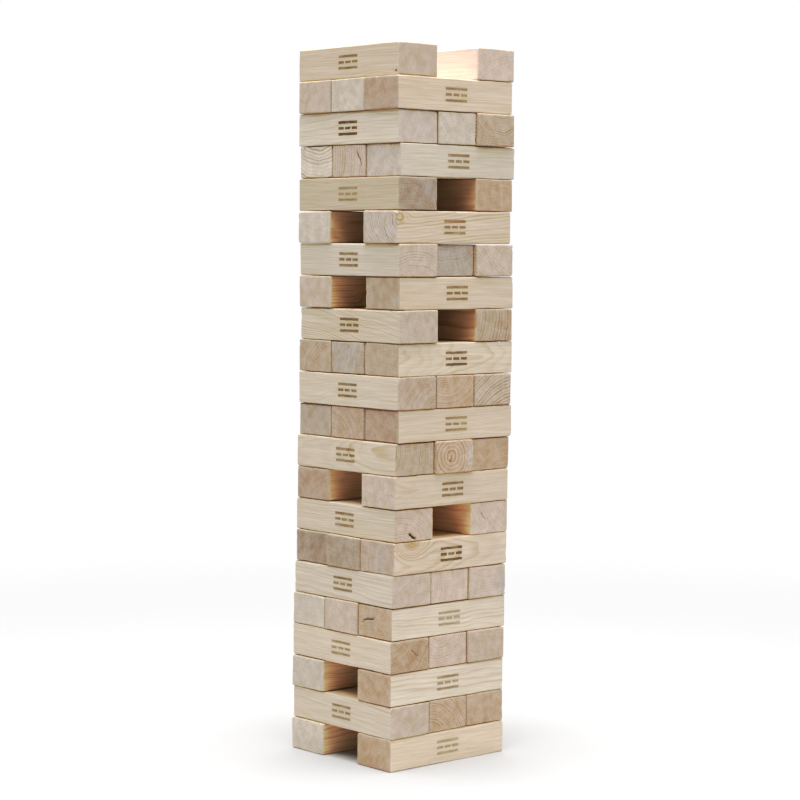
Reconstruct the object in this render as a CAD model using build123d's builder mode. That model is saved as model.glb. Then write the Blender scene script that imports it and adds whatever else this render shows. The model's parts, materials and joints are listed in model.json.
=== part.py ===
from build123d import *
import os
import random

# Giant tumbling tower: a lawn game of planed softwood blocks, stacked crosswise three to a level.
# It stands as it does part-way through a game, with the middle block drawn from nine of the levels.
#
# Frame: the origin is on the ground under the middle of the stack, and +Z is up.
# The front face looks along -Y and the side face along +X.
# Odd levels run front to back, so their ends show in front. Even levels run side to side.
# Lengths are in millimetres.

# Driving dimensions
LEVELS = 22
LANE_COUNT = 3
BLOCK_LENGTH = 180.0
BLOCK_HEIGHT = 38.0
SIDE_GAP = 1.0
LEVEL_GAP = 0.1
ARRIS_RADIUS = 1.5

# Levels whose middle block has already been drawn, counted from the ground
DRAWN_MIDDLES = (1, 3, 8, 9, 14, 15, 17, 18, 22)

# How far hand stacking and sawmill tolerance put the blocks off an even grid
THICKNESS_SLACK = 0.3
END_SLIP = 1.7
LANE_SLIP = 0.4
LEVEL_SLIP = 0.8
STACKING_SEED = 1464

# Blocks set down carelessly, and how far each one's end stands out of its face, or back if negative
CARELESS = {
    "level_21_left": 2.5,
    "level_21_middle": 2.0,
    "level_21_right": 3.0,
    "level_20_front": -1.5,
    "level_20_back": 2.5,
    "level_19_middle": -1.5,
    "level_19_right": -3.0,
    "level_17_left": 2.0,
    "level_17_right": 3.0,
    "level_16_middle": -2.5,
    "level_14_front": 2.5,
    "level_10_middle": 2.0,
}

# The stack leans in a shallow S: it steps over by LEAN in both X and Y between these two levels
LEAN = 4.2
LEAN_FROM_LEVEL = 3
LEAN_TO_LEVEL = 12

# Sizes that follow from the driving dimensions
LANE_PITCH = BLOCK_LENGTH / LANE_COUNT
BLOCK_WIDTH = LANE_PITCH - SIDE_GAP
LEVEL_PITCH = BLOCK_HEIGHT + LEVEL_GAP

# Lane names in the order of their place across the level, from the low side to the high side
LANES_ACROSS_X = ("left", "middle", "right")
LANES_ACROSS_Y = ("front", "middle", "back")


def lean_at(level):
    """The middle of a level, in both X and Y, on the stack's S-shaped lean."""
    climb = (level - LEAN_FROM_LEVEL) / (LEAN_TO_LEVEL - LEAN_FROM_LEVEL)
    climb = min(max(climb, 0.0), 1.0)
    eased = 3 * climb**2 - 2 * climb**3
    return LEAN * (eased - 0.5)


def make_block(name, centre, end_face, height):
    """One planed block: a rectangular section, drawn out both ways along the grain, all arrises eased."""
    section = Plane(origin=centre, x_dir=end_face.x_dir, z_dir=end_face.z_dir)
    with BuildPart() as block:
        with BuildSketch(section):
            Rectangle(BLOCK_WIDTH, height)
        extrude(amount=BLOCK_LENGTH / 2, both=True)
        fillet(block.edges(), radius=ARRIS_RADIUS)
    block.part.label = name
    return block


def stack_level(level, hand):
    """The blocks of one level. The hand is the random source for each block's small slips."""
    runs_front_to_back = level % 2 == 1
    lanes = LANES_ACROSS_X if runs_front_to_back else LANES_ACROSS_Y
    end_face = Plane.XZ if runs_front_to_back else Plane.YZ
    outward = -1 if runs_front_to_back else 1
    middle = lean_at(level)
    level_slip = hand.uniform(-LEVEL_SLIP, LEVEL_SLIP)
    blocks = []
    for place, lane in enumerate(lanes):
        name = f"level_{level:02d}_{lane}"
        usual_slip = hand.uniform(-END_SLIP, END_SLIP)
        lane_slip = hand.uniform(-LANE_SLIP, LANE_SLIP)
        height = BLOCK_HEIGHT - hand.uniform(0, THICKNESS_SLACK)
        if lane == "middle" and level in DRAWN_MIDDLES:
            continue
        across = middle + level_slip + lane_slip + (place - (LANE_COUNT - 1) / 2) * LANE_PITCH
        along = middle + outward * CARELESS.get(name, usual_slip)
        z = (level - 1) * LEVEL_PITCH + height / 2
        centre = (across, along, z) if runs_front_to_back else (along, across, z)
        blocks.append(make_block(f"{name}_block", centre, end_face, height))
    return blocks


os.makedirs("parts", exist_ok=True)
stacking_hand = random.Random(STACKING_SEED)
for level in range(1, LEVELS + 1):
    for block in stack_level(level, stacking_hand):
        export_step(block.part, f"parts/{block.part.label}.step")
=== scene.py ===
"""Looks of the giant tumbling tower: each plain CAD block gets a detailed planed-pine block in its place.

Every block has its own three directions, used by its mesh and its material alike, in millimetres from
its middle: u runs along the grain towards the end that faces the camera, v runs across, to the right
as that end is seen, and w runs up.
"""
import json
import math
import random
from typing import NamedTuple

import bpy
import numpy as np
from mathutils import Matrix, Vector


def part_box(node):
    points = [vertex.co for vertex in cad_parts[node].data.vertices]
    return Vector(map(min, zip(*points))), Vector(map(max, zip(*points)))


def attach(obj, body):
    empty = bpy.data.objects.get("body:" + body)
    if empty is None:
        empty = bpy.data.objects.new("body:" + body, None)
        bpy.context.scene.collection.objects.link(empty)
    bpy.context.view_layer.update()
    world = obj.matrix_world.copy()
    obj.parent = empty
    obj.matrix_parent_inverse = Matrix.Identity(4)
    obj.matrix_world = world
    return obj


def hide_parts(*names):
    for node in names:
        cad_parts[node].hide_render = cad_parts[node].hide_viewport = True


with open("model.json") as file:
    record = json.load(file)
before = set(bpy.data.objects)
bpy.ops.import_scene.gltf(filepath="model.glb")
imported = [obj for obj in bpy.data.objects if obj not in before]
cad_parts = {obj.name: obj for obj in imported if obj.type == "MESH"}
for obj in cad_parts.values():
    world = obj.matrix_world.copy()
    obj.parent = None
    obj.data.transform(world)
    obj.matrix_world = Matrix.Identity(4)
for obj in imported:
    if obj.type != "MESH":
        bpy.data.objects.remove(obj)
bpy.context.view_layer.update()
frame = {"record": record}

MM = 0.001


def add_object(name, data):
    """A new object in the scene."""
    made = bpy.data.objects.new(name, data)
    bpy.context.scene.collection.objects.link(made)
    return made


# ------------------------ the blocks, as they look

# Hues of pine, as plain linear colours with red at 1. A block's tone scales its hue.
SIDE_HUES = {
    # ivory and amber serve for the painted light on faces that look into a drawn block's place
    "ivory": (1.0, 0.850, 0.790),
    "pale": (1.0, 0.860, 0.655),
    "cream": (1.0, 0.840, 0.615),
    "peach": (1.0, 0.805, 0.575),
    "amber": (1.0, 0.730, 0.490),
}
END_HUES = {
    "cream": (1.0, 0.845, 0.660),
    "grey": (1.0, 0.815, 0.665),
    "umber": (1.0, 0.795, 0.640),
    "pink": (1.0, 0.770, 0.595),
    "tan": (1.0, 0.745, 0.570),
    "brown": (1.0, 0.725, 0.570),
    "gold": (1.0, 0.690, 0.510),
}


class Look(NamedTuple):
    """How one block looks: the hue and tone of its ends and sides, and how its rings lie."""
    end_hue: str
    end_tone: float
    side_hue: str
    side_tone: float
    ring_direction: float   # of the rings' centre from the block's middle, in degrees, 0 right and 90 up
    ring_distance: float    # of the rings' centre from the block's middle, in mm
    ring_width: float       # mm
    end_rings: float        # how strongly the rings show on the ends, 0 to 1
    side_rings: float       # how strongly the rings show on the long faces, 0 to 1
    climb: float            # how far the grain climbs towards the near end, in mm per 100 mm
    burn: float             # how dark the burnt mark is, 0 to 1


# The blocks of the tower from the top down
BLOCKS = {
    "level_22_front": Look("tan", 0.65, "peach", 0.74, -50, 70, 1.7, 0.35, 0.45, 3, 0.70),
    "level_22_back": Look("pink", 0.76, "pale", 0.80, -68, 95, 2.6, 0.40, 0.15, -2, 0.70),
    "level_21_left": Look("pink", 0.66, "cream", 0.78, -35, 60, 2.2, 0.55, 0.40, 2, 0.70),
    "level_21_middle": Look("cream", 0.72, "cream", 0.78, 32, 52, 2.4, 0.40, 0.40, 1, 0.62),
    "level_21_right": Look("brown", 0.53, "peach", 0.83, -60, 75, 2.0, 0.35, 0.35, -2, 0.66),
    "level_20_front": Look("grey", 0.73, "pale", 0.85, 38, 85, 1.8, 0.35, 0.50, 6, 0.92),
    "level_20_middle": Look("cream", 0.73, "peach", 0.78, 50, 48, 2.4, 0.45, 0.40, -2, 0.62),
    "level_20_back": Look("tan", 0.60, "peach", 0.78, 78, 34, 2.6, 0.65, 0.50, 2, 0.70),
    "level_19_left": Look("cream", 0.83, "cream", 0.78, 84, 60, 4.2, 0.95, 0.50, -3, 0.70),
    "level_19_middle": Look("pink", 0.66, "cream", 0.78, 178, 95, 4.4, 0.50, 0.40, 1, 0.62),
    "level_19_right": Look("grey", 0.70, "pale", 0.78, 48, 85, 1.9, 0.40, 0.22, 1, 0.68),
    "level_18_front": Look("umber", 0.42, "peach", 0.65, -104, 50, 3.0, 0.25, 0.30, 2, 0.50),
    "level_18_back": Look("gold", 0.58, "peach", 0.78, 4, 110, 1.8, 0.35, 0.50, -1, 0.70),
    "level_17_left": Look("cream", 0.72, "cream", 0.78, 176, 100, 2.0, 0.30, 0.55, 2, 0.70),
    "level_17_right": Look("grey", 0.68, "peach", 0.81, 44, 135, 3.0, 0.75, 0.70, -2, 0.64),
    "level_16_front": Look("pink", 0.68, "pale", 0.75, -94, 62, 3.2, 0.45, 0.25, 1, 0.76),
    "level_16_middle": Look("grey", 0.52, "peach", 0.78, 100, 80, 3.2, 0.35, 0.40, -2, 0.62),
    "level_16_back": Look("pink", 0.70, "peach", 0.78, 50, 110, 2.8, 0.50, 0.40, 2, 0.70),
    "level_15_left": Look("pink", 0.66, "cream", 0.78, 130, 90, 2.2, 0.25, 0.70, 1, 0.70),
    "level_15_right": Look("pink", 0.50, "peach", 0.79, 120, 60, 2.4, 0.25, 0.20, 1, 0.71),
    "level_14_front": Look("pink", 0.63, "cream", 0.75, -126, 74, 2.2, 0.25, 0.80, -20, 0.76),
    "level_14_back": Look("tan", 0.55, "peach", 0.78, 172, 58, 5.2, 0.55, 0.70, 2, 0.70),
    "level_13_left": Look("tan", 0.54, "cream", 0.78, -38, 58, 4.2, 0.34, 0.40, 2, 0.70),
    "level_13_middle": Look("pink", 0.51, "cream", 0.78, 66, 70, 2.8, 0.40, 0.40, -2, 0.62),
    "level_13_right": Look("tan", 0.53, "cream", 0.86, 178, 100, 2.2, 0.35, 0.50, 2, 0.83),
    "level_12_front": Look("brown", 0.60, "cream", 0.76, -44, 52, 2.2, 0.50, 0.22, 1, 0.76),
    "level_12_middle": Look("gold", 0.63, "peach", 0.78, 112, 36, 2.3, 0.65, 0.40, 2, 0.62),
    "level_12_back": Look("pink", 0.63, "peach", 0.78, -58, 82, 3.6, 0.75, 0.50, -2, 0.70),
    "level_11_left": Look("umber", 0.51, "cream", 0.78, -40, 80, 1.8, 0.30, 0.40, 1, 0.70),
    "level_11_middle": Look("brown", 0.56, "cream", 0.78, -142, 46, 2.2, 0.65, 0.40, 2, 0.62),
    "level_11_right": Look("brown", 0.49, "peach", 0.81, 62, 90, 2.4, 0.30, 0.30, -2, 0.63),
    "level_10_front": Look("tan", 0.56, "cream", 0.76, 178, 70, 2.8, 0.50, 0.55, 7, 0.71),
    "level_10_middle": Look("gold", 0.65, "peach", 0.78, 180, 7, 5.0, 0.60, 0.40, 1, 0.62),
    "level_10_back": Look("gold", 0.60, "peach", 0.78, -66, 70, 2.4, 0.40, 0.40, -2, 0.70),
    "level_09_left": Look("brown", 0.49, "cream", 0.78, -56, 85, 2.2, 0.30, 0.40, 2, 0.70),
    "level_09_right": Look("pink", 0.67, "peach", 0.77, 4, 95, 1.8, 0.35, 0.40, -1, 0.70),
    "level_08_front": Look("tan", 0.71, "cream", 0.73, -122, 42, 2.7, 0.60, 0.45, 1, 0.71),
    "level_08_back": Look("pink", 0.71, "peach", 0.78, 40, 75, 2.8, 0.30, 0.40, 2, 0.70),
    "level_07_left": Look("umber", 0.39, "cream", 0.78, 56, 70, 3.0, 0.20, 0.40, 1, 0.70),
    "level_07_middle": Look("umber", 0.43, "cream", 0.78, 170, 85, 3.2, 0.25, 0.40, -2, 0.62),
    "level_07_right": Look("brown", 0.55, "peach", 0.80, 2, 80, 3.0, 0.40, 0.55, -5, 0.86),
    "level_06_front": Look("pink", 0.65, "pale", 0.74, -62, 46, 3.0, 0.40, 0.45, -5, 0.74),
    "level_06_middle": Look("pink", 0.74, "peach", 0.78, 178, 50, 3.0, 0.35, 0.40, 2, 0.62),
    "level_06_back": Look("pink", 0.69, "peach", 0.78, 86, 60, 3.0, 0.30, 0.40, -2, 0.70),
    "level_05_left": Look("cream", 0.67, "cream", 0.78, 2, 90, 2.0, 0.25, 0.40, 1, 0.70),
    "level_05_middle": Look("pink", 0.66, "cream", 0.78, 62, 38, 2.4, 0.35, 0.40, 2, 0.62),
    "level_05_right": Look("gold", 0.57, "pale", 0.87, -120, 46, 2.6, 0.40, 0.55, -7, 0.58),
    "level_04_front": Look("gold", 0.52, "cream", 0.77, 132, 42, 2.4, 0.55, 0.45, -2, 0.62),
    "level_04_middle": Look("tan", 0.71, "peach", 0.78, 120, 30, 3.0, 0.50, 0.40, 2, 0.62),
    "level_04_back": Look("tan", 0.60, "peach", 0.78, 70, 95, 2.2, 0.22, 0.40, -1, 0.70),
    "level_03_left": Look("cream", 0.63, "cream", 0.78, 44, 75, 2.4, 0.18, 0.60, 2, 0.70),
    "level_03_right": Look("gold", 0.54, "pale", 0.86, -136, 62, 3.2, 0.38, 0.45, 2, 0.65),
    "level_02_front": Look("pink", 0.65, "cream", 0.74, -48, 48, 3.0, 0.45, 0.45, -3, 0.67),
    "level_02_middle": Look("gold", 0.61, "peach", 0.78, -132, 50, 2.6, 0.62, 0.40, 2, 0.62),
    "level_02_back": Look("gold", 0.57, "peach", 0.78, 104, 80, 2.2, 0.22, 0.40, -1, 0.70),
    "level_01_left": Look("cream", 0.73, "cream", 0.78, 44, 70, 4.2, 0.15, 0.60, 1, 0.70),
    "level_01_right": Look("gold", 0.55, "peach", 0.90, 60, 85, 2.2, 0.20, 0.22, -1, 0.53),
}

# Splits and pitch pockets on the near ends: middle across and up, tilt in degrees, length, width and depth in
# mm, and how dark, 0 to 1, the dark being painted shadow in the crack and the pitch's own colour
SPLITS = {
    "level_19_middle": (19, 3, 112, 26, 2.0, 0.6, 0.95),
    "level_17_right": (12, -8, 125, 20, 1.2, 0.4, 0.8),
    "level_13_left": (2, 6, 52, 26, 0.9, 0.3, 0.35),
    "level_12_front": (6, 4, 52, 32, 1.0, 0.4, 0.40),
    "level_10_middle": (-6, -4, 60, 7, 2.4, 0.6, 0.7),
    "level_09_right": (24, -3, 80, 5, 2.2, 0.6, 0.7),
    "level_08_front": (-2, -13, -24, 17, 4.4, 2.6, 1.0),
    "level_08_back": (-10, 3, -48, 17, 2.2, 0.6, 0.55),
    "level_05_right": (-12, 2, 16, 30, 2.4, 1.2, 0.80),
    "level_04_front": (8, 2, -28, 20, 1.4, 0.7, 0.6),
    "level_01_left": (-8, 2, -52, 34, 0.8, 0.2, 0.30),
}

# Coloured patches of end grain: middle across and up, radius, strength, colour
STAINS = {
    "level_18_front": (18, 8, 17, 0.55, (0.42, 0.40, 0.37)),
    "level_16_middle": (0, 0, 40, 0.35, (0.42, 0.43, 0.42)),
    "level_13_middle": (-2, 2, 30, 0.60, (0.53, 0.50, 0.47)),
    "level_10_middle": (30, 0, 15, 0.75, (0.74, 0.70, 0.64)),
    "level_10_back": (12, 11, 8, 0.50, (0.40, 0.38, 0.34)),
    "level_07_left": (14, 12, 16, 0.35, (0.28, 0.23, 0.18)),
    "level_07_right": (4, -2, 24, 0.35, (0.55, 0.53, 0.50)),
    "level_06_back": (26, 0, 17, 0.65, (0.42, 0.43, 0.43)),
    "level_05_right": (-8, 2, 16, 0.40, (0.40, 0.37, 0.32)),
    "level_17_right": (-20, 12, 18, 0.35, (0.60, 0.56, 0.50)),
}

# Hue and tone painted on the face that looks in on a drawn block's place: painted light, the warm shade and
# bounced light of the gap, and at the top bright overhead light, painted into its colour
USUAL_GAP_WALL_LIGHT = ("amber", 0.80)
GAP_WALL_LIGHT = {
    "level_22_back": ("ivory", 0.80),
    "level_18_back": ("amber", 0.66),
    "level_17_left": ("amber", 0.76),
    "level_15_left": ("amber", 0.82),
    "level_14_back": ("amber", 0.71),
    "level_09_left": ("amber", 0.84),
    "level_08_back": ("amber", 1.04),
    "level_03_left": ("amber", 0.85),
    "level_01_left": ("amber", 1.00),
}

# Blocks whose long faces show arched grain: how fast their rings run out of the face, in mm per 100 mm
ARCHES = {
    "level_22_back": 6,
    "level_17_right": -9,
    "level_14_front": 8,
    "level_13_right": 9,
    "level_10_front": 8,
    "level_07_right": -8,
    "level_05_right": 7,
}

# Knots and swirls that the side grain bends round: place along, place up and size in mm, and how strongly
# their colour shows, 0 to 1
KNOTS = {
    "level_22_front": (85, -14, 3, 1.00),
    "level_22_back": (-40, 2, 8, 0.10),
    "level_17_right": (86, 15, 12, 0.45),
    "level_15_left": (30, -4, 12, 0.40),
    "level_07_right": (62, 17, 20, 0.80),
}

# What a block has where it isn't named above: a split that lies off it, no stain and no knot
NO_SPLIT = (1000, 0, 0, 1, 1, 0, 0)
NO_STAIN = (0, 0, 1, 0, (0.5, 0.5, 0.5))
NO_KNOT = (0, 0, 0, 0)

# ------------------------ the mesh of a block

# Arrises, in mm: the radius lies between these two, and changes by this much every so far along the edges
SHARPEST_ARRIS = 1.0
ARRIS_RADIUS = 2.1
ARRIS_RADIUS_CHANGE = 0.5
ARRIS_CHANGE_LENGTH = 60

# The grid of points that a block is made from, in mm, and how many steps go round half an arris
STEP_ALONG = 3.0
STEP_ACROSS = 2.0
STEP_ACROSS_SPLIT = 0.8
FINE_END = 14.0
FINE_STEP = 1.5
ARRIS_SUPPORT = 0.4
ARC_STEPS = 3

# Wear, in mm: how far a top falls away as it dries, and the least and most size and depth of chips and dents
TOP_FALL = 0.5
CHIPS = 9
CHIPS_OFF_CORNERS = 0.7
CHIP_SIZE = (2.5, 6.0)
CHIP_DEPTH = (0.15, 0.8)
DENTS = 7
DENT_SIZE = (2.5, 7.0)
DENT_DEPTH = (0.08, 0.3)

# How a split wanders: how far to each side in mm, and how fast in radians per mm along it
SPLIT_WANDER = ((0.9, 0.31), (0.35, 1.1))

# How far the edge marks reach from the edges (rubbed wear with a painted highlight, grime, and painted shade
# on arrises that face down), and the painted shade of a seam across the end and in from the end, in mm
EDGE_REACH = 7.0
SEAM_WIDTH = 1.6
SEAM_DEPTH = 7.0
# How far round from straight down a point may face and still take painted shade, as 1 less the cosine
UNDERSIDE_REACH = 0.9


def even_stops(start, stop, step):
    """Stops from start to stop, both included, as near to step apart as fits."""
    count = max(1, round((stop - start) / step))
    return list(np.linspace(start, stop, count + 1))


def grid_stops(half, step, fine=0.0):
    """Where the grid lines cross one axis of a block: close round the arrises, even between them."""
    flat = half - ARRIS_RADIUS
    arc = [flat + ARRIS_RADIUS * math.tan(math.pi / 4 * k / ARC_STEPS) for k in range(1, ARC_STEPS + 1)]
    outer = flat - ARRIS_SUPPORT
    inner = outer - fine
    between = even_stops(0, inner, step)
    if fine:
        between += even_stops(inner, outer, FINE_STEP)[1:]
    positive = between + [flat] + arc
    negative = [-stop for stop in reversed(positive[1:])]
    return np.array(negative + positive)


def shell_of_grid(shape):
    """Grid places on the outside of a block of grid points, and the quads between them, facing out."""
    outside = np.zeros(shape, bool)
    outside[[0, -1], :, :] = True
    outside[:, [0, -1], :] = True
    outside[:, :, [0, -1]] = True
    number = np.zeros(shape, int)
    number[outside] = np.arange(outside.sum())
    quads = []
    for axis in range(3):
        for end in (0, -1):
            sheet = number.take(end, axis=axis)
            corners = (sheet[:-1, :-1], sheet[1:, :-1], sheet[1:, 1:], sheet[:-1, 1:])
            quad = np.stack([corner.ravel() for corner in corners], axis=1)
            faces_out = (end == -1) != (axis == 1)
            quads.append(quad if faces_out else quad[:, ::-1])
    return np.argwhere(outside), np.concatenate(quads)


def ripple(points, luck, wavelength):
    """A smooth random field over the points, mostly within -1 to 1, with about this wavelength."""
    field = np.zeros(len(points))
    waves = 5
    for _ in range(waves):
        direction = luck.normal(size=3)
        direction *= 2 * math.pi / (wavelength * np.linalg.norm(direction))
        field += np.sin(points @ direction + luck.uniform(0, 2 * math.pi))
    return field / math.sqrt(waves)


def falloff(distance, radius):
    """1 at no distance, easing to 0 at the radius."""
    near = np.clip(1 - distance / radius, 0, 1)
    return near * near * (3 - 2 * near)


def round_arrises(points, half, radius):
    """Pulls the grid's square edges in to arcs. Gives the new points and the way each one faces."""
    inner = half - radius[:, None]
    core = np.clip(points, -inner, inner)
    out = points - core
    facing = out / np.linalg.norm(out, axis=1)[:, None]
    return core + facing * radius[:, None], facing


def taper_top(points, half, luck):
    """Wood moves as it dries: lets the top fall away a little towards one end and one side."""
    place = points / half
    fall = np.zeros(len(points))
    for axis in range(2):
        towards = luck.choice([-1, 1])
        fall += luck.uniform(0, TOP_FALL) * (1 + towards * place[:, axis]) / 2
    points[:, 2] -= fall * (1 + place[:, 2]) / 2
    return points


def knock_arrises(points, half, luck):
    """Small chips and bruises along the edges and at the corners. Gives the points and their wear."""
    wear = np.zeros(len(points))
    for _ in range(CHIPS):
        along = luck.integers(3)
        spot = half * luck.choice([-1, 1], size=3)
        spot[along] *= luck.uniform(-1, 1) if luck.random() < CHIPS_OFF_CORNERS else 1
        size = luck.uniform(*CHIP_SIZE)
        depth = luck.uniform(*CHIP_DEPTH)
        inward = -np.sign(spot)
        inward[along] = 0
        hit = falloff(np.linalg.norm(points - spot, axis=1), size)
        points = points + (hit * depth)[:, None] * inward / math.sqrt(2)
        wear = np.maximum(wear, hit)
    return points, wear


def dent_faces(points, facing, half, luck):
    """Shallow dents where blocks have fallen on one another."""
    for _ in range(DENTS):
        spot = half * luck.uniform(-1, 1, size=3)
        flat = luck.integers(3)
        spot[flat] = half[flat] * luck.choice([-1, 1])
        hit = falloff(np.linalg.norm(points - spot, axis=1), luck.uniform(*DENT_SIZE))
        points = points - facing * (hit * luck.uniform(*DENT_DEPTH))[:, None]
    return points


def open_split(points, split, phase):
    """Carves a split into the near end. It wanders from side to side, and end_split draws the same line."""
    across, up, tilt, length, width, depth, _ = split
    angle = math.radians(tilt)
    offset = points[:, 1:] - np.array([across, up])
    along = offset @ np.array([math.cos(angle), math.sin(angle)])
    beside = offset @ np.array([-math.sin(angle), math.cos(angle)])
    for wander, turns in SPLIT_WANDER:
        beside = beside + wander * np.sin(along * turns + phase)
    cut = falloff(np.abs(beside), width) * np.sqrt(falloff(np.abs(along), length / 2))
    on_end = points[:, 0] > 0
    points[:, 0] -= depth * cut * on_end
    return points


def add_attribute(mesh, name, values):
    """Stores one number, or one vector, for each of the mesh's points."""
    is_vector = values.ndim == 2
    stored = mesh.attributes.new(name, "FLOAT_VECTOR" if is_vector else "FLOAT", "POINT")
    stored.data.foreach_set("vector" if is_vector else "value", values.ravel().astype(np.float32))


def describe_points(mesh, points, facing, wear, half, neighbours):
    """Stores what the material reads at each point of the mesh."""
    add_attribute(mesh, "grain", points)
    add_attribute(mesh, "end_grain", np.abs(facing[:, 0]))
    # Facing down, for the painted shade on lower arrises
    add_attribute(mesh, "underside", falloff(1 + facing[:, 2], UNDERSIDE_REACH))
    add_attribute(mesh, "bruise", wear)
    edge_distance = np.sort(half - np.abs(points), axis=1)[:, 1]
    add_attribute(mesh, "edge", falloff(edge_distance, EDGE_REACH))
    # The seam: where painted shade goes on an end, in the joint beside a neighbouring block
    from_end = half[0] - np.abs(points[:, 0])
    seam = np.zeros(len(points))
    for side in neighbours:
        from_side = half[1] - side * points[:, 1]
        seam = np.maximum(seam, falloff(from_side, SEAM_WIDTH) * falloff(from_end, SEAM_DEPTH))
    add_attribute(mesh, "seam", seam)


def block_mesh(name, low, high, along_x, split, neighbours, seed):
    """A planed block filling the CAD block's box, with grain coordinates for its material."""
    middle = (low + high) / 2
    size = (high - low) / MM
    half = (size if along_x else size[[1, 0, 2]]) / 2
    luck = np.random.default_rng(seed)
    step_across = STEP_ACROSS_SPLIT if split else STEP_ACROSS
    stops = (
        grid_stops(half[0], STEP_ALONG, FINE_END),
        grid_stops(half[1], step_across),
        grid_stops(half[2], step_across),
    )
    places, quads = shell_of_grid([len(s) for s in stops])
    points = np.stack([stops[axis][places[:, axis]] for axis in range(3)], axis=1)

    usual_radius = luck.uniform(SHARPEST_ARRIS, ARRIS_RADIUS)
    radius = usual_radius + ARRIS_RADIUS_CHANGE * ripple(points, luck, ARRIS_CHANGE_LENGTH)
    radius = np.clip(radius, SHARPEST_ARRIS, ARRIS_RADIUS)
    points, facing = round_arrises(points, half, radius)
    points = taper_top(points, half, luck)
    points = dent_faces(points, facing, half, luck)
    points, wear = knock_arrises(points, half, luck)
    if split:
        points = open_split(points, split, seed)
    points = np.clip(points, -half, half)

    u_axis = np.array([1.0, 0, 0]) if along_x else np.array([0, -1.0, 0])
    v_axis = np.array([0, 1.0, 0]) if along_x else np.array([1.0, 0, 0])
    w_axis = np.array([0, 0, 1.0])
    world = middle + MM * (points @ np.stack([u_axis, v_axis, w_axis]))

    mesh = bpy.data.meshes.new(name)
    mesh.from_pydata(world.tolist(), [], quads.tolist())
    mesh.shade_smooth()
    describe_points(mesh, points, facing, wear, half, neighbours)
    return mesh


# ------------------------ what the pine is made of

class Texture(NamedTuple):
    """A noise in the wood, eased from a low value to a high one."""
    size: tuple             # of its features along, across and up, in mm
    detail: float
    start: float            # the noise at which it leaves its low value
    stop: float             # the noise at which it reaches its high value
    low: float
    high: float
    roughness: float = 0.5


class Swing(NamedTuple):
    """A noise that bends lines, either way from where they'd be."""
    size: tuple             # of its features along, across and up, in mm
    reach: float            # mm
    detail: float


SIDE_STREAKS = Texture((90, 3.5, 3.5), 2.0, 0.30, 0.70, 0.96, 1.035)
SIDE_FIBRES = Texture((45, 1.9, 1.9), 3.0, 0.25, 0.75, 0.90, 1.08, 0.6)
SIDE_WARMTH = Texture((120, 26, 26), 2.0, 0.40, 0.75, 0.0, 0.35)
SIDE_DASHES = Texture((9, 0.8, 0.8), 1.0, 0.70, 0.80, 1.0, 0.80)
END_RAYS = Texture((1, 1, 1), 2.0, 0.25, 0.75, 0.945, 1.05)
END_PORES = Texture((2.0, 1.0, 1.0), 2.0, 0.25, 0.75, 0.90, 1.09, 0.7)
END_SAW_LINES = Texture((1.3, 1, 1), 2.0, 0.25, 0.75, 0.965, 1.03)
END_MOTTLE = Texture((60, 11, 11), 3.0, 0.25, 0.75, 0.89, 1.09)
STAIN_PATCHES = Texture((60, 5, 5), 3.0, 0.35, 0.65, 0.15, 1.0)
GRIME = Texture((24, 9, 9), 3.0, 0.50, 0.75, 0.0, 0.22)
SMUDGES = Texture((55, 34, 34), 4.0, 0.52, 0.78, 0.0, 0.14, 0.6)
MARK_PATCHES = Texture((13, 13, 13), 2.0, 0.35, 0.60, 0.86, 1.04)
SPLIT_WIDTHS = Texture((60, 3, 3), 2.0, 0.30, 0.70, 0.45, 1.2)

RING_UNEVENNESS = Swing((90, 15, 15), 5.0, 1.0)
RING_WAVES = Swing((40, 6, 6), 0.9, 1.0)
STAIN_EDGE = Swing((40, 7, 7), 16.0, 3.0)
MARK_WOBBLE = Swing((6, 6, 6), 1.0, 2.0)

# Tints that a colour is multiplied by
LATE_SIDE_TINT = (0.70, 0.55, 0.44)
LATE_END_TINT = (0.50, 0.43, 0.385)
WARM_TINT = (0.97, 0.90, 0.78)
KNOT_FLUSH_TINT = (0.62, 0.41, 0.29)

# Colours that cover the wood
KNOT_PALE = (0.62, 0.39, 0.25)
KNOT_DARK = (0.45, 0.26, 0.15)
PIN_KNOT = (0.06, 0.04, 0.03)
# Pale rubbed arrises: real wear, partly a painted highlight
RUBBED_WOOD_AND_HIGHLIGHT = (0.82, 0.69, 0.52)
BRUISED_WOOD = (0.72, 0.60, 0.44)
EDGE_GRIME = (0.38, 0.28, 0.21)
# Painted shade on arrises that face down
UNDERSIDE_PAINTED_SHADE = (0.20, 0.135, 0.095)
# Painted shade in the joint where a neighbouring block lies close beside an end
SEAM_PAINTED_SHADE = (0.33, 0.29, 0.26)
SMUDGE = (0.46, 0.38, 0.30)
# A split's dark line: painted shadow in the crack, and dark pitch
SPLIT_SHADOW_AND_PITCH = (0.060, 0.042, 0.032)
CHAR = (0.150, 0.090, 0.043)

# How much lighter early wood is than the block's own colour
EARLY_SIDE = 1.04
EARLY_END = 1.05

# How fully each covers the wood, 0 to 1
# The rubbed edges carry a painted highlight, and the underside and seam covers are painted shade
RUBBED_AND_HIGHLIGHT = 0.10
BRUISED = 0.35
UNDERSIDE_SHADE_COVER = 0.6
SEAM_SHADE_COVER = 0.5
SPLIT_SHADOW_AND_PITCH_COVER = 0.95
KNOT_COVER = 0.9

# Ranges for Graph.ease: it goes over from the first number to the second. Where there are four, it goes
# from the third value to the fourth, and otherwise from 0 to 1.
# How squarely a point faces along the grain where it turns from side grain to end grain
END_GRAIN = (0.25, 0.60)
# How far across a block its bared side and the burn on its long faces set in, in mm
BARED_SIDE = (26.0, 28.0)
BURNT_SIDE = (27.4, 28.6)
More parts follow.
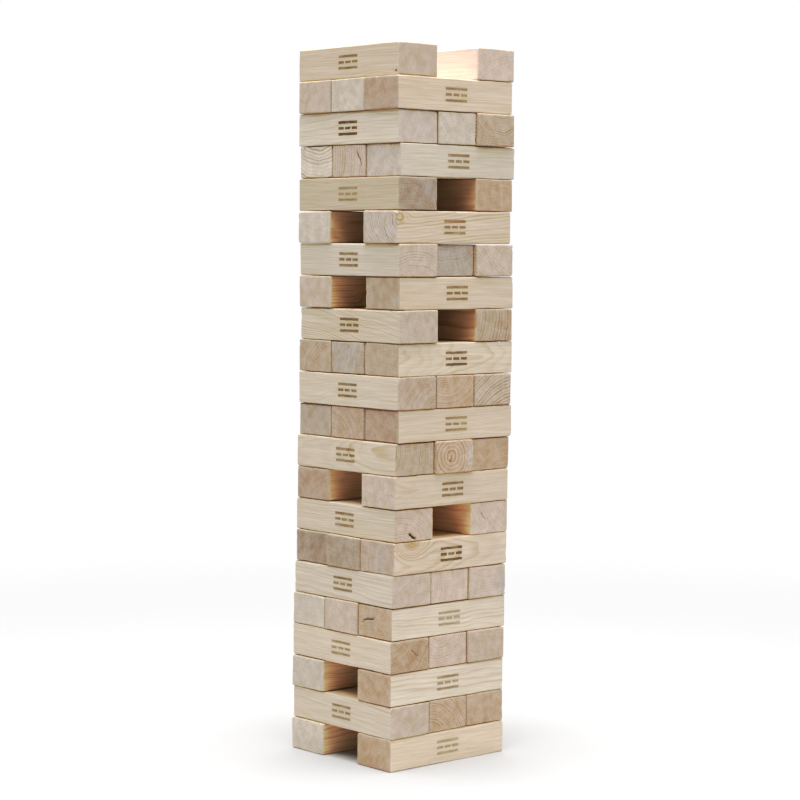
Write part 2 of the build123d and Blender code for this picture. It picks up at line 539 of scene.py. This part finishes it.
# How late wood comes and goes within a year, and how strong rings are by chance
LATE_WOOD_RISE = (0.15, 0.88)
LATE_WOOD_FALL = (0.90, 1.0, 1.0, 0.0)
RING_STRENGTHS = (0.0, 1.0, 0.25, 1.1)
# A knot's core and flush by knot sizes from its middle, the flush by late wood, the core's own dark rings,
# and the sizes in mm over which a small knot turns into a black pin knot
KNOT_CORE = (0.75, 0.35)
KNOT_FLUSH = (2.2, 0.4, 0.0, 0.9)
KNOT_FLUSH_BY_LATE_WOOD = (0.0, 1.0, 0.25, 1.0)
KNOT_DARK_RINGS = (-0.6, 0.9)
PIN_KNOT_SIZES = (6.0, 3.0)
# Rays that show in a stain
STAIN_RAYS = (0.25, 0.75, 0.85, 1.12)
# A split's line by split widths from its middle, and how far along the block it is drawn, in mm
SPLIT_LINE = (0.75, 0.1)
SPLIT_NEAR_END = (60.0, 80.0)
# The scorched halo by mm from the mark's middle
SCORCH_HALO = (26.0, 12.0, 0.0, 0.07)
# What fibres add to the roughness, and relief of late wood and of fibres from side grain to end grain
FIBRE_SHINE = (0.2, 0.8, -0.05, 0.06)
LATE_RELIEF = (0.0, 1.0, 0.35, 0.8)
FIBRE_RELIEF = (0.0, 1.0, 0.5, 0.0)

# How far the noise's own place moves with each block's seed, so that no two blocks look alike
SEED_SHIFT = (613.0, 1.0, 131.0)

# Growth rings: the size in mm over which their centre wanders, the shift that makes it wander differently
# up and across, and how closely runs of wide or narrow years follow on one another and how strong they are
WANDER_SIZE = (95, 400, 400)
WANDER_SHIFT = (310, 0, 90)
RUNS_OF_YEARS = 0.35
RUN_STRENGTH = 1.1

# A knot: how much longer it is than tall, how it bends the rings and how fast that fades, and how closely
# its own rings lie
KNOT_FLATNESS = 1.5
KNOT_BEND = 0.9
KNOT_BEND_FADE = -0.8
KNOT_RING_TURNS = 26.0

# Rays on the ends, per radian round the rings' centre and per mm out from it, and the bow of the saw's marks
RAYS_ROUND = 45.0
RAYS_OUT = 0.07
SAW_BOW = 0.004

# Where a stain and a split's line fade out and where they're full, as shares of the stain's size and the
# split's length
STAIN_FADES, STAIN_FULL = 1.3, 0.35
SPLIT_FADES, SPLIT_FULL = 0.5, 0.2

# The burnt mark: a little crosswise stack of solid bars, in mm. Each row is cut into so many bars.
MARK_LENGTH = 34
MARK_ROWS = (1, 3, 1)
BAR_HEIGHT = 3.3
ROW_PITCH = 6.8
BAR_GAP = 2.0
BAR_SOFTNESS = 0.45
SCORCH_FLATNESS = 2.2
SCORCH_WARMTH = 0.6

# Roughness of the planed sides and the sawn ends, and what rubbed edges and burning do to it
SIDE_ROUGHNESS, END_ROUGHNESS = 0.56, 0.80
EDGE_SHINE = 0.08
BURN_DULLNESS = 0.12
SPECULAR = 0.3

# Relief that only the light shows: how deep 1 is, how strongly it counts, and each part's share of it
RELIEF_DEPTH = 0.12 * MM
RELIEF_STRENGTH = 0.5
SAW_RELIEF = 0.8
PORE_RELIEF = 0.6
BURN_SUNK = 2.6
SPLIT_SUNK = 3.0

# ------------------------ the pine material

class Graph:
    """Short calls that add nodes to a material and wire them up."""

    def __init__(self, tree):
        self.tree = tree
        self.tree.nodes.clear()

    def node(self, kind, **settings):
        made = self.tree.nodes.new(kind)
        for name, value in settings.items():
            setattr(made, name, value)
        return made

    def feed(self, socket, value):
        """Wires an output into a socket, or sets the socket to a plain value."""
        if isinstance(value, bpy.types.NodeSocket):
            self.tree.links.new(value, socket)
        else:
            socket.default_value = value

    def maths(self, operation, *values):
        made = self.node("ShaderNodeMath", operation=operation)
        for socket, value in zip(made.inputs, values):
            self.feed(socket, value)
        return made.outputs[0]

    def plus(self, a, b):
        return self.maths("ADD", a, b)

    def minus(self, a, b):
        return self.maths("SUBTRACT", a, b)

    def times(self, a, b):
        return self.maths("MULTIPLY", a, b)

    def length(self, x, y):
        return self.maths("SQRT", self.plus(self.times(x, x), self.times(y, y)))

    def ease(self, value, start, stop, low=0.0, high=1.0):
        """Eases from low to high as value goes from start to stop."""
        made = self.node("ShaderNodeMapRange", interpolation_type="SMOOTHSTEP")
        for socket, number in zip(made.inputs, (value, start, stop, low, high)):
            self.feed(socket, number)
        return made.outputs[0]

    def parts(self, vector):
        made = self.node("ShaderNodeSeparateXYZ")
        self.feed(made.inputs[0], vector)
        return made.outputs[0], made.outputs[1], made.outputs[2]

    def vector(self, x, y, z):
        made = self.node("ShaderNodeCombineXYZ")
        for socket, value in zip(made.inputs, (x, y, z)):
            self.feed(socket, value)
        return made.outputs[0]

    def vector_maths(self, operation, a, b):
        made = self.node("ShaderNodeVectorMath", operation=operation)
        self.feed(made.inputs[0], a)
        self.feed(made.inputs[1], b)
        return made.outputs[0]

    def noise(self, vector, size, detail=2.0, roughness=0.5):
        """Noise from 0 to 1 with features of about this size (x, y, z) in mm."""
        made = self.node("ShaderNodeTexNoise")
        self.feed(made.inputs["Vector"], self.vector_maths("DIVIDE", vector, size))
        self.feed(made.inputs["Scale"], 1.0)
        self.feed(made.inputs["Detail"], detail)
        self.feed(made.inputs["Roughness"], roughness)
        return made.outputs[0]

    def texture(self, vector, texture):
        """A texture's plain noise, and the value it eases to."""
        noise = self.noise(vector, texture.size, texture.detail, texture.roughness)
        return noise, self.ease(noise, texture.start, texture.stop, texture.low, texture.high)

    def swing(self, vector, swing):
        """Noise that swings either way from 0."""
        return self.times(self.minus(self.noise(vector, swing.size, swing.detail), 0.5), swing.reach)

    def mix(self, factor, a, b, blend="MIX"):
        made = self.node("ShaderNodeMix", data_type="RGBA", blend_type=blend)
        self.feed(made.inputs[0], factor)
        self.feed(made.inputs[6], a)
        self.feed(made.inputs[7], b)
        return made.outputs[2]

    def tint(self, colour, tint):
        return self.mix(1.0, colour, opaque(tint), "MULTIPLY")

    def cover(self, colour, amount, coat):
        return self.mix(amount, colour, opaque(coat))

    def shade(self, colour, amount, warmth=1.0):
        """The colour made lighter and cooler, or darker and warmer, by amount, 1 being no change."""
        green = self.maths("POWER", amount, 1 + 0.2 * warmth)
        blue = self.maths("POWER", amount, 1 + 0.5 * warmth)
        return self.vector_maths("MULTIPLY", colour, self.vector(amount, green, blue))

    def show(self, surface, output="ShaderNodeOutputMaterial"):
        """Makes this surface what is seen."""
        self.feed(self.node(output).inputs["Surface"], surface)

    def of_mesh(self, name, output="Fac"):
        made = self.node("ShaderNodeAttribute", attribute_type="GEOMETRY", attribute_name=name)
        return made.outputs[output]

    def of_block(self, name, output="Fac"):
        made = self.node("ShaderNodeAttribute", attribute_type="OBJECT", attribute_name=name)
        return made.outputs[output]


def opaque(colour):
    return (*colour, 1.0)


def knot_places(graph, u, w):
    """How far each point is from the block's knot, in knot sizes, and the knot's size in mm."""
    knot_u, knot_w, knot_size = graph.parts(graph.of_block("knot", "Vector"))
    from_knot_w = graph.times(graph.minus(w, knot_w), KNOT_FLATNESS)
    distance = graph.length(graph.minus(u, knot_u), from_knot_w)
    smallest_size = 0.01
    return graph.maths("DIVIDE", distance, graph.maths("MAXIMUM", knot_size, smallest_size)), knot_size


def growth_rings(graph, place, u, v, w, seed, knot_ratio, knot_size):
    """Late wood, 0 to 1, from rings round a wandering centre. Also the distance and angle from it."""
    centre_v, centre_w, ring_width = graph.parts(graph.of_block("rings", "Vector"))
    slope_v, slope_w, wander = graph.parts(graph.of_block("drift", "Vector"))
    wander_v = graph.swing(place, Swing(WANDER_SIZE, wander, 2.0))
    shifted = graph.vector_maths("ADD", place, WANDER_SHIFT)
    wander_w = graph.swing(shifted, Swing(WANDER_SIZE, wander, 2.0))
    across = graph.minus(graph.minus(v, centre_v), graph.plus(graph.times(u, slope_v), wander_v))
    up = graph.minus(graph.minus(w, centre_w), graph.plus(graph.times(u, slope_w), wander_w))
    radius = graph.length(across, up)
    angle = graph.maths("ARCTAN2", up, across)

    swell = graph.maths("EXPONENT", graph.times(graph.times(knot_ratio, knot_ratio), KNOT_BEND_FADE))
    bulge = graph.times(swell, graph.times(knot_size, KNOT_BEND))
    bent = graph.plus(graph.swing(place, RING_UNEVENNESS), graph.swing(place, RING_WAVES))
    years = graph.maths("DIVIDE", graph.plus(graph.plus(radius, bulge), bent), ring_width)
    run_line = graph.vector(graph.plus(graph.times(years, RUNS_OF_YEARS), seed), 3.3, 7.7)
    years = graph.plus(years, graph.times(graph.noise(run_line, (1, 1, 1), 1.0), RUN_STRENGTH))
    turn = graph.maths("FRACT", years)
    year = graph.maths("FLOOR", years)
    chance = graph.node("ShaderNodeTexWhiteNoise", noise_dimensions="1D")
    graph.feed(chance.inputs["W"], graph.plus(year, seed))
    rise = graph.ease(turn, *LATE_WOOD_RISE)
    fall = graph.ease(turn, *LATE_WOOD_FALL)
    band = graph.times(graph.times(rise, rise), fall)
    late = graph.times(band, graph.ease(chance.outputs["Value"], *RING_STRENGTHS))
    return late, radius, angle


def side_grain(graph, place, v, late, rings_show):
    """Cream early wood and tan late wood, with streaks and fine fibres along the block. A face that looks
    into a drawn block's place gets painted light.
    """
    colour = graph.of_block("side_shade", "Color")
    # Painted light: the face looking into a drawn block's place takes its own painted hue and tone
    gap_wall = graph.ease(graph.times(v, graph.of_block("bared_side")), *BARED_SIDE)
    colour = graph.mix(gap_wall, colour, graph.of_block("gap_wall_light", "Color"))
    late_colour = graph.tint(colour, LATE_SIDE_TINT)
    colour = graph.mix(graph.times(late, rings_show), graph.shade(colour, EARLY_SIDE), late_colour)
    _, streaks = graph.texture(place, SIDE_STREAKS)
    colour = graph.shade(colour, streaks)
    fibre_noise, fibres = graph.texture(place, SIDE_FIBRES)
    colour = graph.shade(colour, fibres)
    _, warmth = graph.texture(place, SIDE_WARMTH)
    colour = graph.mix(warmth, colour, graph.tint(colour, WARM_TINT))
    _, dashes = graph.texture(place, SIDE_DASHES)
    return graph.shade(colour, dashes), fibre_noise


def with_knot(graph, colour, late, knot_ratio, knot_size, amount):
    """The side grain with its knot or swirl, and the flush of darker late wood round it."""
    rings = graph.maths("SINE", graph.times(knot_ratio, KNOT_RING_TURNS))
    knot_colour = graph.cover(opaque(KNOT_PALE), graph.ease(rings, *KNOT_DARK_RINGS), KNOT_DARK)
    knot_colour = graph.cover(knot_colour, graph.ease(knot_size, *PIN_KNOT_SIZES), PIN_KNOT)
    flush = graph.times(graph.ease(knot_ratio, *KNOT_FLUSH), amount)
    flush = graph.times(flush, graph.ease(late, *KNOT_FLUSH_BY_LATE_WOOD))
    colour = graph.mix(flush, colour, graph.tint(colour, KNOT_FLUSH_TINT))
    core = graph.ease(knot_ratio, *KNOT_CORE)
    return graph.mix(graph.times(core, graph.times(amount, KNOT_COVER)), colour, knot_colour)


def end_grain(graph, place, v, w, late, rings_show, rays_place, seed):
    """Darker and greyer than the sides, with rays from the rings' centre, pores and the saw's marks."""
    colour = graph.of_block("end_shade", "Color")
    late_colour = graph.tint(colour, LATE_END_TINT)
    colour = graph.mix(graph.times(late, rings_show), graph.shade(colour, EARLY_END), late_colour)
    ray_noise, rays = graph.texture(rays_place, END_RAYS)
    colour = graph.shade(colour, rays)
    pore_noise, pores = graph.texture(place, END_PORES)
    colour = graph.shade(colour, pores)
    tilt_v = graph.times(v, graph.maths("SINE", seed))
    tilt_w = graph.times(w, graph.maths("COSINE", seed))
    bow = graph.times(graph.times(v, v), SAW_BOW)
    saw_line = graph.vector(graph.plus(graph.plus(tilt_v, tilt_w), bow), 0.0, seed)
    saw_noise, saw_marks = graph.texture(saw_line, END_SAW_LINES)
    colour = graph.shade(colour, saw_marks)
    _, mottle = graph.texture(place, END_MOTTLE)
    return graph.shade(colour, mottle), ray_noise, pore_noise, saw_noise


def with_stain(graph, colour, place, v, w, ray_noise):
    """The end grain with its patch of stain, ragged at the edge and showing the rays."""
    stain_v, stain_w, size = graph.parts(graph.of_block("stain_place", "Vector"))
    distance = graph.length(graph.minus(v, stain_v), graph.minus(w, stain_w))
    ragged = graph.plus(distance, graph.swing(place, STAIN_EDGE))
    stain = graph.ease(ragged, graph.times(size, STAIN_FADES), graph.times(size, STAIN_FULL))
    _, patches = graph.texture(place, STAIN_PATCHES)
    stain = graph.times(graph.times(stain, patches), graph.of_block("stain_strength"))
    stain_colour = graph.shade(graph.of_block("stain_shade", "Color"), graph.ease(ray_noise, *STAIN_RAYS))
    return graph.mix(stain, colour, stain_colour)


def with_wear_and_painted_light(graph, colour, place):
    """The wood as handled, with painted light: arrises rubbed pale, partly a painted highlight, and a little
    grimy, painted shade on arrises that face down and in the seams beside neighbouring blocks, bruises,
    smudges.
    """
    edge = graph.of_mesh("edge")
    near_edge = graph.times(edge, edge)
    # Pale rubbed arrises: real wear, partly a painted highlight
    colour = graph.cover(colour, graph.times(near_edge, RUBBED_AND_HIGHLIGHT), RUBBED_WOOD_AND_HIGHLIGHT)
    _, grime = graph.texture(place, GRIME)
    colour = graph.cover(colour, graph.times(near_edge, grime), EDGE_GRIME)
    # Painted shade on the arrises that face down
    under_shade = graph.times(near_edge, graph.of_mesh("underside"))
    colour = graph.cover(colour, graph.times(under_shade, UNDERSIDE_SHADE_COVER), UNDERSIDE_PAINTED_SHADE)
    # Painted shade in the joints beside neighbouring blocks
    colour = graph.cover(colour, graph.times(graph.of_mesh("seam"), SEAM_SHADE_COVER), SEAM_PAINTED_SHADE)
    colour = graph.cover(colour, graph.times(graph.of_mesh("bruise"), BRUISED), BRUISED_WOOD)
    _, smudges = graph.texture(place, SMUDGES)
    return graph.cover(colour, smudges, SMUDGE)


def burnt_mark(graph, place, u, v, w):
    """The mark burnt into the middle of both long faces, and its scorched halo."""
    wobble = graph.swing(place, MARK_WOBBLE)
    x, y = graph.plus(u, wobble), graph.plus(w, wobble)

    def within(value, middle, half_width):
        distance = graph.maths("ABSOLUTE", graph.minus(value, middle))
        return graph.ease(distance, half_width + BAR_SOFTNESS, half_width - BAR_SOFTNESS)

    shape = 0.0
    for row, bars in enumerate(MARK_ROWS):
        row_middle = (row - (len(MARK_ROWS) - 1) / 2) * ROW_PITCH
        up = within(y, row_middle, BAR_HEIGHT / 2)
        bar_pitch = (MARK_LENGTH + BAR_GAP) / bars
        for bar in range(bars):
            along = within(x, (bar - (bars - 1) / 2) * bar_pitch, (bar_pitch - BAR_GAP) / 2)
            shape = graph.maths("MAXIMUM", shape, graph.times(up, along))

    on_side = graph.ease(graph.maths("ABSOLUTE", v), *BURNT_SIDE)
    strength = graph.times(graph.of_block("burn"), on_side)
    _, patches = graph.texture(place, MARK_PATCHES)
    burn = graph.times(graph.times(shape, patches), strength)
    flattened = graph.times(graph.times(y, y), SCORCH_FLATNESS)
    reach = graph.maths("SQRT", graph.plus(graph.times(x, x), flattened))
    scorch = graph.times(graph.ease(reach, *SCORCH_HALO), strength)
    return burn, scorch


def end_split(graph, place, u, v, w):
    """The dark line of a split on the near end: painted shadow in the crack, and dark pitch."""
    across, up, tilt = graph.parts(graph.of_block("split_place", "Vector"))
    length, width, phase = graph.parts(graph.of_block("split_size", "Vector"))
    cosine, sine = graph.maths("COSINE", tilt), graph.maths("SINE", tilt)
    x, y = graph.minus(v, across), graph.minus(w, up)
    along = graph.plus(graph.times(x, cosine), graph.times(y, sine))
    beside = graph.minus(graph.times(y, cosine), graph.times(x, sine))
    for wander, turns in SPLIT_WANDER:
        wave = graph.maths("SINE", graph.plus(graph.times(along, turns), phase))
        beside = graph.plus(beside, graph.times(wave, wander))
    _, uneven = graph.texture(place, SPLIT_WIDTHS)
    widths_off = graph.maths("DIVIDE", graph.maths("ABSOLUTE", beside), graph.times(width, uneven))
    across_line = graph.ease(widths_off, *SPLIT_LINE)
    fades, full = graph.times(length, SPLIT_FADES), graph.times(length, SPLIT_FULL)
    along_line = graph.ease(graph.maths("ABSOLUTE", along), fades, full)
    line = graph.times(graph.times(across_line, along_line), graph.ease(u, *SPLIT_NEAR_END))
    return graph.times(line, graph.of_block("split_dark"))


def wood_roughness(graph, end, fibre_noise, burn):
    """Sides satin from the planer, ends rough from the saw."""
    roughness = graph.plus(graph.times(end, END_ROUGHNESS - SIDE_ROUGHNESS), SIDE_ROUGHNESS)
    roughness = graph.plus(roughness, graph.ease(fibre_noise, *FIBRE_SHINE))
    roughness = graph.minus(roughness, graph.times(graph.of_mesh("edge"), EDGE_SHINE))
    return graph.plus(roughness, graph.times(burn, BURN_DULLNESS))


def wood_relief(graph, end, late, fibre_noise, saw_noise, pore_noise, burn, split):
    """Late wood stands a touch proud, the saw's marks and pores show on the ends, and the mark is sunk."""
    relief = graph.times(late, graph.ease(end, *LATE_RELIEF))
    relief = graph.plus(relief, graph.times(fibre_noise, graph.ease(end, *FIBRE_RELIEF)))
    relief = graph.plus(relief, graph.times(saw_noise, graph.times(end, SAW_RELIEF)))
    relief = graph.plus(relief, graph.times(pore_noise, graph.times(end, PORE_RELIEF)))
    relief = graph.minus(relief, graph.times(burn, BURN_SUNK))
    relief = graph.minus(relief, graph.times(split, SPLIT_SUNK))
    bump = graph.node("ShaderNodeBump")
    graph.feed(bump.inputs["Strength"], RELIEF_STRENGTH)
    graph.feed(bump.inputs["Distance"], RELIEF_DEPTH)
    graph.feed(bump.inputs["Height"], relief)
    return bump.outputs[0]


def pine(slot):
    """Planed pine. Each block's own values choose its rings, shades, mark, stains, splits and knot."""
    material = bpy.data.materials.new(slot)
    material.use_nodes = True
    graph = Graph(material.node_tree)
    grain = graph.of_mesh("grain", "Vector")
    seed = graph.of_block("seed")
    shift = graph.vector(*(graph.times(seed, amount) for amount in SEED_SHIFT))
    place = graph.vector_maths("ADD", grain, shift)
    u, v, w = graph.parts(grain)
    end = graph.ease(graph.of_mesh("end_grain"), *END_GRAIN)
    end_rings, side_rings, knot_amount = graph.parts(graph.of_block("contrast", "Vector"))

    knot_ratio, knot_size = knot_places(graph, u, w)
    late, radius, angle = growth_rings(graph, place, u, v, w, seed, knot_ratio, knot_size)
    side, fibre_noise = side_grain(graph, place, v, late, side_rings)
    side = with_knot(graph, side, late, knot_ratio, knot_size, knot_amount)
    rays_place = graph.vector(graph.times(angle, RAYS_ROUND), graph.times(radius, RAYS_OUT), seed)
    tip, ray_noise, pore_noise, saw_noise = end_grain(graph, place, v, w, late, end_rings, rays_place, seed)
    tip = with_stain(graph, tip, place, v, w, ray_noise)
    colour = with_wear_and_painted_light(graph, graph.mix(end, side, tip), place)
    split = end_split(graph, place, u, v, w)
    # The split's dark line: painted shadow in the crack, and dark pitch
    colour = graph.cover(colour, graph.times(split, SPLIT_SHADOW_AND_PITCH_COVER), SPLIT_SHADOW_AND_PITCH)
    burn, scorch = burnt_mark(graph, place, u, v, w)
    colour = graph.shade(colour, graph.minus(1.0, scorch), SCORCH_WARMTH)
    colour = graph.cover(colour, burn, CHAR)

    shader = graph.node("ShaderNodeBsdfPrincipled")
    relief = wood_relief(graph, end, late, fibre_noise, saw_noise, pore_noise, burn, split)
    graph.feed(shader.inputs["Base Color"], colour)
    graph.feed(shader.inputs["Roughness"], wood_roughness(graph, end, fibre_noise, burn))
    graph.feed(shader.inputs["Specular IOR Level"], SPECULAR)
    graph.feed(shader.inputs["Normal"], relief)
    graph.show(shader.outputs[0])
    return material


# ------------------------ building the blocks

LANES_ACROSS_X = ("left", "middle", "right")
LANES_ACROSS_Y = ("front", "middle", "back")

# How far the rings run out of a block's side, either way in mm per 100 mm, where ARCHES doesn't say
USUAL_RUN_OUT = 2
# The least and most that the rings' centre wanders along a block, in mm
RING_WANDER = (5.0, 11.0)


def runs_along_x(name):
    """Even levels run side to side, along X. Odd levels run front to back."""
    level = int(name.split("_")[1])
    return level % 2 == 0


def sides_touched(name):
    """The sides, -1 and 1 across the block, on which another block lies close beside it."""
    level, lane = name.rsplit("_", 1)
    lanes = LANES_ACROSS_Y if runs_along_x(name) else LANES_ACROSS_X
    beside = {step: lanes.index(lane) + step for step in (-1, 1)}
    return [
        step for step, place in beside.items()
        if 0 <= place < len(lanes) and f"{level}_{lanes[place]}" in BLOCKS
    ]


def bared_side(name):
    """The side, -1 or 1 across the block, on which the middle block has been drawn. 0 if it's there."""
    level, lane = name.rsplit("_", 1)
    if f"{level}_middle" in BLOCKS:
        return 0
    return 1 if lane in ("left", "front") else -1


def dress_block(piece, name, number):
    """Gives a block the values that its material reads."""
    luck = random.Random(number)
    look = BLOCKS[name]
    angle = math.radians(look.ring_direction)
    centre = look.ring_distance * math.cos(angle), look.ring_distance * math.sin(angle)
    piece["seed"] = number + luck.random()
    piece["rings"] = (*centre, look.ring_width)
    run_out = ARCHES.get(name, luck.uniform(-USUAL_RUN_OUT, USUAL_RUN_OUT))
    piece["drift"] = (run_out / 100, look.climb / 100, luck.uniform(*RING_WANDER))

    # Hue and tone of the painted light on a face that looks into a drawn block's place
    gap_light_hue, gap_light_tone = GAP_WALL_LIGHT.get(name, USUAL_GAP_WALL_LIGHT)
    piece["end_shade"] = [look.end_tone * part for part in END_HUES[look.end_hue]]
    piece["side_shade"] = [look.side_tone * part for part in SIDE_HUES[look.side_hue]]
    piece["gap_wall_light"] = [gap_light_tone * part for part in SIDE_HUES[gap_light_hue]]
    piece["bared_side"] = float(bared_side(name))
    piece["burn"] = look.burn

    knot_along, knot_up, knot_size, knot_amount = KNOTS.get(name, NO_KNOT)
    piece["knot"] = (float(knot_along), float(knot_up), float(knot_size))
    piece["contrast"] = (look.end_rings, look.side_rings, float(knot_amount))
    across, up, tilt, length, width, _, dark = SPLITS.get(name, NO_SPLIT)
    piece["split_place"] = (float(across), float(up), math.radians(tilt))
    piece["split_size"] = (float(length), float(width), float(number))
    piece["split_dark"] = float(dark)
    stain_across, stain_up, stain_size, strength, shade = STAINS.get(name, NO_STAIN)
    piece["stain_place"] = (float(stain_across), float(stain_up), float(stain_size))
    piece["stain_strength"] = float(strength)
    piece["stain_shade"] = shade


def build_blocks():
    """One detailed block for each CAD block, riding on the same body."""
    materials = {}
    for number, part in enumerate(frame["record"]["subparts"]):
        node = part["node"]
        slot = part["material_slot"]
        body = node.removesuffix("_block")
        low, high = (np.array(corner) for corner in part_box(node))
        mesh = block_mesh(
            f"{body}_pine", low, high, runs_along_x(body), SPLITS.get(body), sides_touched(body), number
        )
        piece = add_object(f"{body}_pine", mesh)
        if slot not in materials:
            materials[slot] = pine(slot)
        mesh.materials.append(materials[slot])
        dress_block(piece, body, number)
        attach(piece, body)
        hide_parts(node)


# ------------------------ the studio

# The camera's place and aim, in metres and degrees, and its lens and sensor in mm
CAMERA_AZIMUTH = 48.62
CAMERA_AWAY = 2.700
CAMERA_HEIGHT = 0.6055
CAMERA_DOWN = 3.87
CAMERA_TURN = 0.051
CAMERA_ROLL = 0.371
CAMERA_LENS = 101.8
CAMERA_SENSOR = 36.0

# Scene brightness and the brightness it prints at, between black at 0 and white at 1
PRINT_TONES = ((0.05, 0.032), (0.10, 0.068), (0.16, 0.135), (0.31, 0.37), (0.45, 0.50), (0.60, 0.64))

# Lights hang this high over the floor, in metres
LIGHT_HEIGHT = 3.0

# How brightly the white surround and the far floor light the tower, 1 being as bright as they look
SURROUND_LIGHT = 0.12
FAR_FLOOR_LIGHT = 0.35

# The floor: half its width and where it starts and ends fading into the surround, in metres, and its paint
FLOOR_REACH = 12.0
FADE_FROM, FADE_TO = 0.5, 1.8
FLOOR_PAINT = (0.56, 0.56, 0.56)


def floor_and_backdrop():
    """A plain white floor. It takes shadows near the tower, and fades into the white surround further out."""
    mesh = bpy.data.meshes.new("floor")
    corners = [(x * FLOOR_REACH, y * FLOOR_REACH, 0) for x, y in ((-1, -1), (1, -1), (1, 1), (-1, 1))]
    mesh.from_pydata(corners, [], [(0, 1, 2, 3)])
    floor = add_object("floor", mesh)
    material = bpy.data.materials.new("floor_white")
    material.use_nodes = True
    graph = Graph(material.node_tree)
    x, y, _ = graph.parts(graph.node("ShaderNodeNewGeometry").outputs["Position"])
    far = graph.ease(graph.length(x, y), FADE_FROM, FADE_TO)
    seen = graph.node("ShaderNodeLightPath").outputs["Is Camera Ray"]
    paint = graph.node("ShaderNodeBsdfDiffuse")
    graph.feed(paint.inputs["Color"], opaque(FLOOR_PAINT))
    glow = graph.node("ShaderNodeEmission")
    graph.feed(glow.inputs["Strength"], graph.ease(seen, 0.0, 1.0, FAR_FLOOR_LIGHT, 1.0))
    blend = graph.node("ShaderNodeMixShader")
    for socket, value in zip(blend.inputs, (far, paint.outputs[0], glow.outputs[0])):
        graph.feed(socket, value)
    graph.show(blend.outputs[0])
    mesh.materials.append(material)


def soft_light(name, x, y, size, power):
    """A large square soft box, facing straight down. Its size is in metres and its power in watts."""
    light = bpy.data.lights.new(name, "AREA")
    light.shape = "SQUARE"
    light.size = size
    light.energy = power
    add_object(name, light).location = (x, y, LIGHT_HEIGHT)


def world_light():
    """An even white surround: pure white to the camera, softer as light."""
    world = bpy.data.worlds.new("surround")
    world.use_nodes = True
    bpy.context.scene.world = world
    graph = Graph(world.node_tree)
    rays = graph.node("ShaderNodeLightPath")
    background = graph.node("ShaderNodeBackground")
    graph.feed(background.inputs["Color"], (1.0, 1.0, 1.0, 1.0))
    strength = graph.ease(rays.outputs["Is Camera Ray"], 0.0, 1.0, SURROUND_LIGHT, 1.0)
    graph.feed(background.inputs["Strength"], strength)
    graph.show(background.outputs[0], "ShaderNodeOutputWorld")


def aim_camera():
    """The camera looks at the tower's near corner, from a little under three quarters of its height."""
    azimuth = math.radians(CAMERA_AZIMUTH)
    heading = azimuth + math.radians(CAMERA_TURN)
    down, roll = math.radians(CAMERA_DOWN), math.radians(CAMERA_ROLL)
    away = Vector((math.sin(azimuth), -math.cos(azimuth), 0))
    place = away * CAMERA_AWAY + Vector((0, 0, CAMERA_HEIGHT))
    ahead = math.cos(down)
    forward = Vector((-math.sin(heading) * ahead, math.cos(heading) * ahead, -math.sin(down)))
    right = Vector((math.cos(heading), math.sin(heading), 0))
    up = right.cross(forward)
    right_rolled = right * math.cos(roll) + up * math.sin(roll)
    up_rolled = up * math.cos(roll) - right * math.sin(roll)
    turn = Matrix((right_rolled, up_rolled, -forward)).transposed()
    data = bpy.data.cameras.new("camera")
    data.lens = CAMERA_LENS
    data.sensor_width = CAMERA_SENSOR
    camera = add_object("camera", data)
    camera.matrix_world = Matrix.Translation(place) @ turn.to_4x4()
    bpy.context.scene.camera = camera


def develop_like_a_print():
    """The picture's tones: deep warm shadows and soft bright tops, as a studio print has."""
    settings = bpy.context.scene.view_settings
    settings.view_transform = "Standard"
    settings.use_curve_mapping = True
    all_channels = settings.curve_mapping.curves[3]
    for tone, printed in PRINT_TONES:
        all_channels.points.new(tone, printed)
    settings.curve_mapping.update()


build_blocks()
floor_and_backdrop()
world_light()
soft_light("overhead", x=0.35, y=-0.30, size=4.0, power=164)
soft_light("top", x=0.0, y=0.0, size=1.0, power=73)
aim_camera()
develop_like_a_print()
